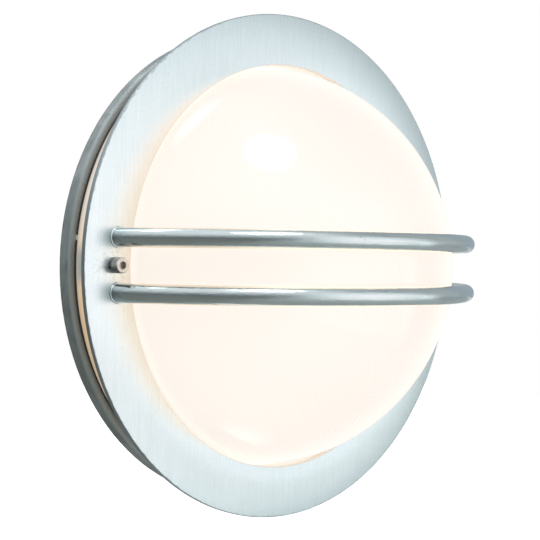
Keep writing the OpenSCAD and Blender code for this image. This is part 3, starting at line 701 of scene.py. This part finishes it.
# The arc goes through the crown and through the two feet on the ring's face
middle_crown_w = -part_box("upper_bar")[0].y - bar_r
rise = middle_crown_w - ring_front_w
hoop_r = (foot_x ** 2 + rise ** 2) / (2 * rise)
hoop_w = middle_crown_w - hoop_r

bar_zinc, tree, shader, where = new_material("bar_zinc", Metallic=1.0)
skin = place_group(tree, zinc_skin, {"Place": where, "Patch Scale": 60.0, "Speck Scale": 1300.0})
# Places along the bent bar: how far round the hoop, how far out from its middle, and how high
places = put(tree, "SeparateXYZ", {0: where})
out_w = work_out(tree, "SUBTRACT", times(tree, places.outputs["Y"], -1.0), hoop_w)
sweep = work_out(tree, "ARCTAN2", places.outputs["X"], out_w)
squares = work_out(
    tree,
    "ADD",
    times(tree, places.outputs["X"], places.outputs["X"]),
    times(tree, out_w, out_w),
)
straightened = put(
    tree,
    "CombineXYZ",
    {0: times(tree, sweep, hoop_r), 1: work_out(tree, "SQRT", squares), 2: places.outputs["Z"]},
)
along_bar = straightened.outputs[0]
lines = place_group(
    tree, drawn_lines, {"Place": along_bar, "Across": (0.012, 1.0, 1.0), "Density": 1500.0}
)
pits = put(tree, "TexVoronoi", {"Vector": where, "Scale": 170.0, "Randomness": 1.0})
pit_floor = spread(tree, pits.outputs["Distance"], 0.0, 0.16, 1.0, 0.0)
lumps = noise(tree, where, 45.0, 2.0)
colour = mixed(tree, skin.outputs["Patches"], (0.62, 0.675, 0.68, 1.0), (0.665, 0.715, 0.715, 1.0))
colour = mixed(tree, times(tree, lines.outputs["Wide Lines"], 0.3), colour, (0.74, 0.79, 0.79, 1.0))
colour = mixed(tree, times(tree, pit_floor, 0.45), colour, (0.40, 0.43, 0.43, 1.0))
feed(tree, shader, "Base Color", colour)
rough = spread(tree, skin.outputs["Patches"], 0.0, 1.0, 0.13, 0.19)
duller = spread(tree, sweep, 0.35, 1.1, 0.0, 0.16)
feed(tree, shader, "Roughness", work_out(tree, "ADD", rough, duller))
zinc_runs = place_group(
    tree, drawn_lines, {"Place": along_bar, "Across": (0.22, 1.0, 1.0), "Density": 800.0}
)
height = work_out(tree, "ADD", lumps, times(tree, lines.outputs["Lines"], 0.08))
height = work_out(tree, "SUBTRACT", height, times(tree, pit_floor, 0.15))
height = work_out(tree, "ADD", height, times(tree, zinc_runs.outputs["Lines"], 0.35))
raise_bumps(tree, shader, height, 0.0001)

half_turn = math.acos((ring_front_w - hoop_w) / hoop_r) + past_foot
for name, bar_z in bar_heights.items():
    start_piece()
    bpy.ops.mesh.primitive_circle_add(
        vertices=48,
        radius=bar_r - bar_shrink,
        fill_type="NOTHING",
        location=(0.0, -middle_crown_w, bar_z),
        rotation=(0.0, math.pi / 2, 0.0),
    )
    bar = shape_piece(name + "_guard_bar")
    hoop_middle = (0.0, -hoop_w, bar_z)
    bpy.ops.mesh.select_all(action="SELECT")
    bpy.ops.transform.rotate(value=half_turn, orient_axis="Z", center_override=hoop_middle)
    bpy.ops.mesh.spin(
        steps=200, dupli=False, angle=-2 * half_turn, center=hoop_middle, axis=(0.0, 0.0, 1.0)
    )
    bpy.ops.mesh.select_all(action="SELECT")
    keep_in_front(ring_front_w, fill=True)
    close_shape(smooth_angle=0.7)
    give_finish(bar_zinc, bar, nodes[name + "_bar"])
    put_in_light(bar, "bar_zinc", name + "_bar")

# Weld beads
# Each foot is welded to the ring all round by hand, and the bead is galvanised over.
# The bead is low and uneven, thicker where the run starts and stops, and brighter than the bars.

bead_r = 0.0053
bead_half_thick = 0.00062
bead_lift = 0.00005
bead_gap = 0.00002

weld_zinc, tree, shader, where = new_material("weld_zinc", Metallic=1.0)
skin = place_group(tree, zinc_skin, {"Place": where, "Patch Scale": 300.0, "Speck Scale": 1500.0})
ripples = noise(tree, where, 520.0, 2.0)
colour = mixed(tree, skin.outputs["Patches"], (0.66, 0.71, 0.73, 1.0), (0.80, 0.83, 0.84, 1.0))
feed(tree, shader, "Base Color", colour)
feed(tree, shader, "Roughness", spread(tree, ripples, 0.3, 0.7, 0.22, 0.36))
raise_bumps(tree, shader, ripples, 0.0002)

bead_seeds = {(-1, "upper"): 3, (-1, "lower"): 8, (1, "upper"): 5, (1, "lower"): 12}
for (side, name), seed in bead_seeds.items():
    start_piece()
    bpy.ops.mesh.primitive_torus_add(
        major_radius=bead_r,
        minor_radius=bead_half_thick,
        major_segments=56,
        minor_segments=12,
        location=(side * foot_x, -ring_front_w - bead_lift, bar_heights[name]),
        rotation=(math.pi / 2, 0.0, 0.0),
    )
    bead = shape_piece(name + ("_left" if side < 0 else "_right") + "_weld")
    bpy.ops.mesh.select_all(action="SELECT")
    bpy.ops.transform.vertex_random(offset=0.00012, uniform=0.2, normal=0.8, seed=seed)
    bpy.ops.mesh.vertices_smooth(factor=0.5, repeat=2)
    bpy.ops.mesh.select_all(action="SELECT")
    keep_in_front(ring_front_w + bead_gap, fill=True)
    close_shape(smooth_angle=1.2)
    give_finish(weld_zinc, bead)
    put_in_light(bead, "weld_zinc", "weld_beads")
give_finish(weld_zinc, nodes["weld_beads"])

# Spring washers and socket screws
# M5 stainless socket head screws on split spring washers pull ring, spacers, flange and pan tight.
# Their heads are knurled for the fingers, and damp has left brown traces round the socket.

screw_x = 0.13006
head_r = 0.00425
head_back_w = 0.0361
head_front_w = 0.0411
head_bevel = 0.0004
face_share = 0.91
knurl_edges = 72
knurl_share = 0.955
socket_flats = 0.004
socket_deep = 0.0025
shank_r = 0.0024
shank_length = 0.035

head_steel, tree, shader, where = new_material("head_steel", Metallic=1.0)
skin = place_group(tree, zinc_skin, {"Place": where, "Patch Scale": 500.0, "Speck Scale": 2400.0})
places = put(tree, "SeparateXYZ", {0: where})
across_x = work_out(tree, "SUBTRACT", work_out(tree, "ABSOLUTE", places.outputs["X"]), screw_x)
from_axis = work_out(
    tree,
    "SQRT",
    work_out(
        tree,
        "ADD",
        times(tree, across_x, across_x),
        times(tree, places.outputs["Z"], places.outputs["Z"]),
    ),
)
damp = noise(tree, where, 900.0, 3.0)
in_socket = spread(tree, from_axis, 0.0021, 0.0026, 1.0, 0.0)
stain = times(tree, spread(tree, damp, 0.35, 0.6, 0.3, 1.0), in_socket)
colour = mixed(tree, skin.outputs["Patches"], (0.60, 0.56, 0.51, 1.0), (0.72, 0.69, 0.64, 1.0))
colour = mixed(tree, times(tree, skin.outputs["Specks"], 0.5), colour, (0.36, 0.31, 0.26, 1.0))
colour = mixed(tree, times(tree, stain, 0.6), colour, (0.40, 0.29, 0.22, 1.0))
# Painted shade: the lower half of the head's side is painted near black
low_down = spread(tree, places.outputs["Z"], -0.0022, 0.0018, 1.0, 0.0)
on_side = spread(tree, from_axis, 0.0036, 0.0040, 0.0, 1.0)
low_side_shade = times(tree, times(tree, low_down, on_side), 0.85)
colour = mixed(tree, low_side_shade, colour, (0.16, 0.165, 0.16, 1.0))
feed(tree, shader, "Base Color", colour)
feed(tree, shader, "Roughness", spread(tree, damp, 0.3, 0.7, 0.25, 0.42))
raise_bumps(tree, shader, damp, 0.00004)


def add_rod(vertices, radius, depth, x, middle_w):
    """Add a straight rod square to the wall, with its middle there."""
    bpy.ops.mesh.primitive_cylinder_add(
        vertices=vertices,
        radius=radius,
        depth=depth,
        location=(x, -middle_w, 0.0),
        rotation=(math.pi / 2, 0.0, 0.0),
    )


for side in (-1, 1):
    axis_x = side * screw_x
    side_length = head_front_w - head_back_w - head_bevel
    side_middle_w = (head_back_w + head_front_w - head_bevel) / 2
    start_piece()
    add_rod(knurl_edges, head_r, side_length, axis_x, side_middle_w)
    screw = shape_piece("left_screw" if side < 0 else "right_screw")
    head_middle = (axis_x, -(head_back_w + head_front_w) / 2, 0.0)
    # Knurl: every second edge of the head's side is pressed in
    bpy.ops.mesh.select_all(action="DESELECT")
    bpy.ops.object.mode_set(mode="OBJECT")
    for vertex in screw.data.vertices:
        turn = math.atan2(vertex.co.z, vertex.co.x - axis_x)
        vertex.select = round(turn / (2 * math.pi / knurl_edges)) % 2 == 0
    bpy.ops.object.mode_set(mode="EDIT")
    bpy.ops.transform.resize(value=(knurl_share, 1.0, knurl_share), center_override=head_middle)
    # Front of the head: a bevelled edge and the flat face
    bpy.ops.mesh.select_all(action="DESELECT")
    bpy.ops.object.mode_set(mode="OBJECT")
    front_face = min(screw.data.polygons, key=lambda face: face.center.y)
    front_face.select = True
    bpy.ops.object.mode_set(mode="EDIT")
    bpy.ops.mesh.select_mode(type="FACE")
    bpy.ops.mesh.extrude_region_move(TRANSFORM_OT_translate={"value": (0.0, -head_bevel, 0.0)})
    bpy.ops.transform.resize(value=(face_share, 1.0, face_share), center_override=head_middle)
    bpy.ops.mesh.select_mode(type="VERT")
    close_shape(smooth_angle=0.5)
    # Socket: a six-sided key, as deep outside the head as inside it, is taken away
    start_piece()
    add_rod(6, socket_flats / math.sqrt(3.0), 2 * socket_deep, axis_x, head_front_w)
    socket_key = shape_piece("socket_key")
    close_shape(smooth_angle=0.5)
    start_piece()
    screw.select_set(True)
    bpy.context.view_layer.objects.active = screw
    apply_modifier(screw, "BOOLEAN", operation="DIFFERENCE", solver="EXACT", object=socket_key)
    bpy.data.objects.remove(socket_key)
    # Shank under the head, as far as the nut
    bpy.ops.object.mode_set(mode="EDIT")
    add_rod(32, shank_r, shank_length, axis_x, head_back_w - shank_length / 2)
    close_shape(smooth_angle=0.5)
    give_finish(head_steel, screw)
    put_in_light(screw, "screw_steel", "cap_screws")
give_finish(head_steel, nodes["cap_screws"])

washer_steel, tree, shader, where = new_material("washer_steel", Metallic=1.0)
skin = place_group(tree, zinc_skin, {"Place": where, "Patch Scale": 600.0, "Speck Scale": 2600.0})
colour = mixed(tree, skin.outputs["Patches"], (0.13, 0.135, 0.14, 1.0), (0.24, 0.245, 0.24, 1.0))
colour = mixed(tree, times(tree, skin.outputs["Specks"], 0.6), colour, (0.62, 0.63, 0.60, 1.0))
feed(tree, shader, "Base Color", colour)
feed(tree, shader, "Roughness", spread(tree, skin.outputs["Patches"], 0.0, 1.0, 0.28, 0.45))
raise_bumps(tree, shader, skin.outputs["Specks"], 0.00003)
give_finish(washer_steel, nodes["spring_washers"])

# Camera
# It stands where the photograph was taken, left of the light and almost level with it.
# Its place, turn and lens were fitted to the outlines of the ring, its hole and the bars.

camera_data = bpy.data.cameras.new("camera")
camera = bpy.data.objects.new("camera", camera_data)
bpy.context.scene.collection.objects.link(camera)
bpy.context.scene.camera = camera
azimuth = math.radians(-43.45)
elevation = math.radians(0.63)
roll = math.radians(0.82)
back = Vector((
    math.sin(azimuth) * math.cos(elevation),
    -math.cos(azimuth) * math.cos(elevation),
    math.sin(elevation),
))
right = Vector((0.0, 0.0, 1.0)).cross(back).normalized()
up = back.cross(right)
rolled_right = math.cos(roll) * right + math.sin(roll) * up
rolled_up = -math.sin(roll) * right + math.cos(roll) * up
stand = Vector((-0.51485, -0.55944, 0.00573))
camera.matrix_world = Matrix((
    (rolled_right.x, rolled_up.x, back.x, stand.x),
    (rolled_right.y, rolled_up.y, back.y, stand.y),
    (rolled_right.z, rolled_up.z, back.z, stand.z),
    (0.0, 0.0, 0.0, 1.0),
))
camera_data.sensor_width = 36.0
camera_data.lens = 81.49
camera_data.clip_start = 0.01
camera_data.clip_end = 50.0

# Studio
# Two lamps hang overhead; a broad soft panel stands in front, a narrow one right, a small one below.
# The room is dark at the left, pale at the right and overhead, and white behind the light.

middle = Vector((0.0, -0.04, 0.0))


def stand_in_room(piece, towards, along, distance):
    """Put a lamp or a panel that far off in one direction, turned to the light."""
    facing = Vector(towards).normalized()
    along = Vector(along) - facing * Vector(along).dot(facing)
    along.normalize()
    across = facing.cross(along)
    spot = middle + facing * distance
    piece.matrix_world = Matrix((
        (along.x, across.x, facing.x, spot.x),
        (along.y, across.y, facing.y, spot.y),
        (along.z, across.z, facing.z, spot.z),
        (0.0, 0.0, 0.0, 1.0),
    ))
    piece.visible_camera = False


def place_lamp(name, shape, towards, along, distance, width, height, radiance):
    """A lamp with a sharp edge and that radiance."""
    data = bpy.data.lights.new(name, "AREA")
    data.shape = shape
    data.size = width
    data.size_y = height
    data.energy = radiance * math.pi * width * height
    lamp = bpy.data.objects.new(name, data)
    bpy.context.scene.collection.objects.link(lamp)
    stand_in_room(lamp, towards, along, distance)


def place_panel(name, towards, distance, width, height, core, colour, radiance):
    """A panel that glows with that radiance in its core and fades out to its edge."""
    start_piece()
    bpy.ops.mesh.primitive_plane_add(size=2.0)
    panel = bpy.context.active_object
    panel.name = name
    stand_in_room(panel, towards, (1.0, 0.0, 0.0), distance)
    panel.matrix_world = panel.matrix_world @ Matrix.Diagonal((width / 2, height / 2, 1.0, 1.0))
    panel.visible_shadow = False
    material = bpy.data.materials.new(name)
    material.use_nodes = True
    tree = material.node_tree
    tree.nodes.clear()
    where = tree.nodes.new("ShaderNodeTexCoord").outputs["Object"]
    off_middle = put(tree, "VectorMath", {0: where}, operation="LENGTH")
    fade = spread(tree, off_middle.outputs["Value"], core, 1.0, radiance, 0.0)
    outwards = spread(tree, off_middle.outputs["Value"], 0.15, 0.6, 0.0, 1.0)
    panel_colour = mixed(tree, outwards, colour, (0.92, 0.975, 0.99, 1.0))
    glow = put(tree, "Emission", {"Color": panel_colour, "Strength": fade})
    see_through = put(tree, "BsdfTransparent", {"Color": (1.0, 1.0, 1.0, 1.0)})
    added = put(tree, "AddShader", {0: glow.outputs[0], 1: see_through.outputs[0]})
    put(tree, "OutputMaterial", {"Surface": added.outputs[0]})
    panel.data.materials.append(material)


place_lamp(
    "overhead_box",
    "ELLIPSE",
    towards=(-0.225, -0.385, 0.895),
    along=(1.0, -0.5, 0.0),
    distance=1.4,
    width=0.60,
    height=0.60,
    radiance=2.0,
)
place_lamp(
    "overhead_strip",
    "RECTANGLE",
    towards=(-0.215, 0.375, 0.90),
    along=(0.46, 0.11, 0.07),
    distance=1.4,
    width=0.76,
    height=0.17,
    radiance=2.5,
)
place_panel(
    "front_softbox",
    towards=(0.33, -0.94, -0.04),
    distance=1.5,
    width=3.4,
    height=3.6,
    core=0.07,
    colour=(1.0, 0.90, 0.895, 1.0),
    radiance=0.80,
)
place_panel(
    "right_strip",
    towards=(0.81, -0.58, -0.20),
    distance=1.6,
    width=0.5,
    height=1.4,
    core=0.1,
    colour=(1.0, 1.0, 0.97, 1.0),
    radiance=0.50,
)
place_panel(
    "low_reflector",
    towards=(0.02, 0.275, -0.955),
    distance=0.42,
    width=0.24,
    height=0.24,
    core=0.1,
    colour=(1.0, 1.0, 1.0, 1.0),
    radiance=1.0,
)

# The white backdrop stands this way from the light
backdrop_way = (0.69, 0.7238, 0.0)


def white_rays(tree, path, on_backdrop):
    """Rays that see the backdrop white, and among them those that come from metal or glass."""
    from_gloss = work_out(
        tree, "MAXIMUM", path.outputs["Is Glossy Ray"], path.outputs["Is Transmission Ray"]
    )
    white = work_out(
        tree, "MAXIMUM", path.outputs["Is Camera Ray"], times(tree, from_gloss, on_backdrop)
    )
    return white, from_gloss


world = bpy.data.worlds.new("studio")
bpy.context.scene.world = world
world.use_nodes = True
tree = world.node_tree
room = tree.nodes["Background"]
towards = tree.nodes.new("ShaderNodeTexCoord").outputs["Generated"]
path = tree.nodes.new("ShaderNodeLightPath")
ways = put(tree, "SeparateXYZ", {0: towards})
rightwards = spread(tree, ways.outputs["X"], -0.9, 0.1, 0.0, 1.0)
room_colour = mixed(tree, rightwards, (0.17, 0.192, 0.20, 1.0), (0.50, 0.545, 0.56, 1.0))
right_above = spread(tree, ways.outputs["X"], -0.1, 0.55, 0.0, 1.0)
overhead = mixed(tree, right_above, (0.92, 0.97, 0.99, 1.0), (0.45, 0.48, 0.50, 1.0))
room_colour = mixed(tree, spread(tree, ways.outputs["Z"], 0.02, 0.85, 0.0, 1.0), room_colour, overhead)
facing = put(tree, "VectorMath", {0: towards, 1: backdrop_way}, operation="DOT_PRODUCT")
beside = spread(tree, facing.outputs["Value"], 0.50, 0.80, 0.0, 1.0)
room_colour = mixed(tree, beside, room_colour, (0.375, 0.45, 0.49, 1.0))
behind = spread(tree, facing.outputs["Value"], 0.984, 0.997, 0.0, 1.0)
white, from_gloss = white_rays(tree, path, behind)
feed(tree, room, "Color", mixed(tree, white, room_colour, (1.0, 1.0, 1.0, 1.0)))

# The floor itself is pale, and the metal mirrors it grey, darkest at the back on the left
floor_size = 12.0
floor_z = -0.85
start_piece()
bpy.ops.mesh.primitive_plane_add(size=floor_size, location=(0.0, 0.0, floor_z))
floor = bpy.context.active_object
floor.name = "floor"
pale_floor = bpy.data.materials.new("pale_floor")
pale_floor.use_nodes = True
tree = pale_floor.node_tree
tree.nodes.clear()
where = tree.nodes.new("ShaderNodeTexCoord").outputs["Object"]
path = tree.nodes.new("ShaderNodeLightPath")
far = put(tree, "VectorMath", {0: where, 1: backdrop_way}, operation="DOT_PRODUCT")
backdrop_part = spread(tree, far.outputs["Value"], 4.0, 6.0, 0.0, 1.0)
white, from_gloss = white_rays(tree, path, backdrop_part)
left_behind = put(tree, "VectorMath", {0: where, 1: (-0.88, 0.475, 0.0)}, operation="DOT_PRODUCT")
shaded = spread(tree, left_behind.outputs["Value"], -0.3, 0.6, 0.0, 1.0)
off_middle = put(tree, "VectorMath", {0: where}, operation="LENGTH")
far_off = spread(tree, off_middle.outputs["Value"], 0.25, 1.3, 0.0, 1.0)
mirrored_colour = mixed(tree, far_off, (0.47, 0.485, 0.47, 1.0), (0.585, 0.61, 0.60, 1.0))
mirrored_colour = mixed(tree, shaded, mirrored_colour, (0.30, 0.305, 0.28, 1.0))
floor_colour = mixed(tree, from_gloss, (0.80, 0.80, 0.79, 1.0), mirrored_colour)
diffuse = put(tree, "BsdfDiffuse", {"Color": floor_colour})
glow = put(tree, "Emission", {"Color": (1.0, 1.0, 1.0, 1.0), "Strength": times(tree, white, 0.8)})
both = put(tree, "AddShader", {0: diffuse.outputs[0], 1: glow.outputs[0]})
put(tree, "OutputMaterial", {"Surface": both.outputs[0]})
floor.data.materials.append(pale_floor)

bpy.context.scene.view_settings.view_transform = "Standard"
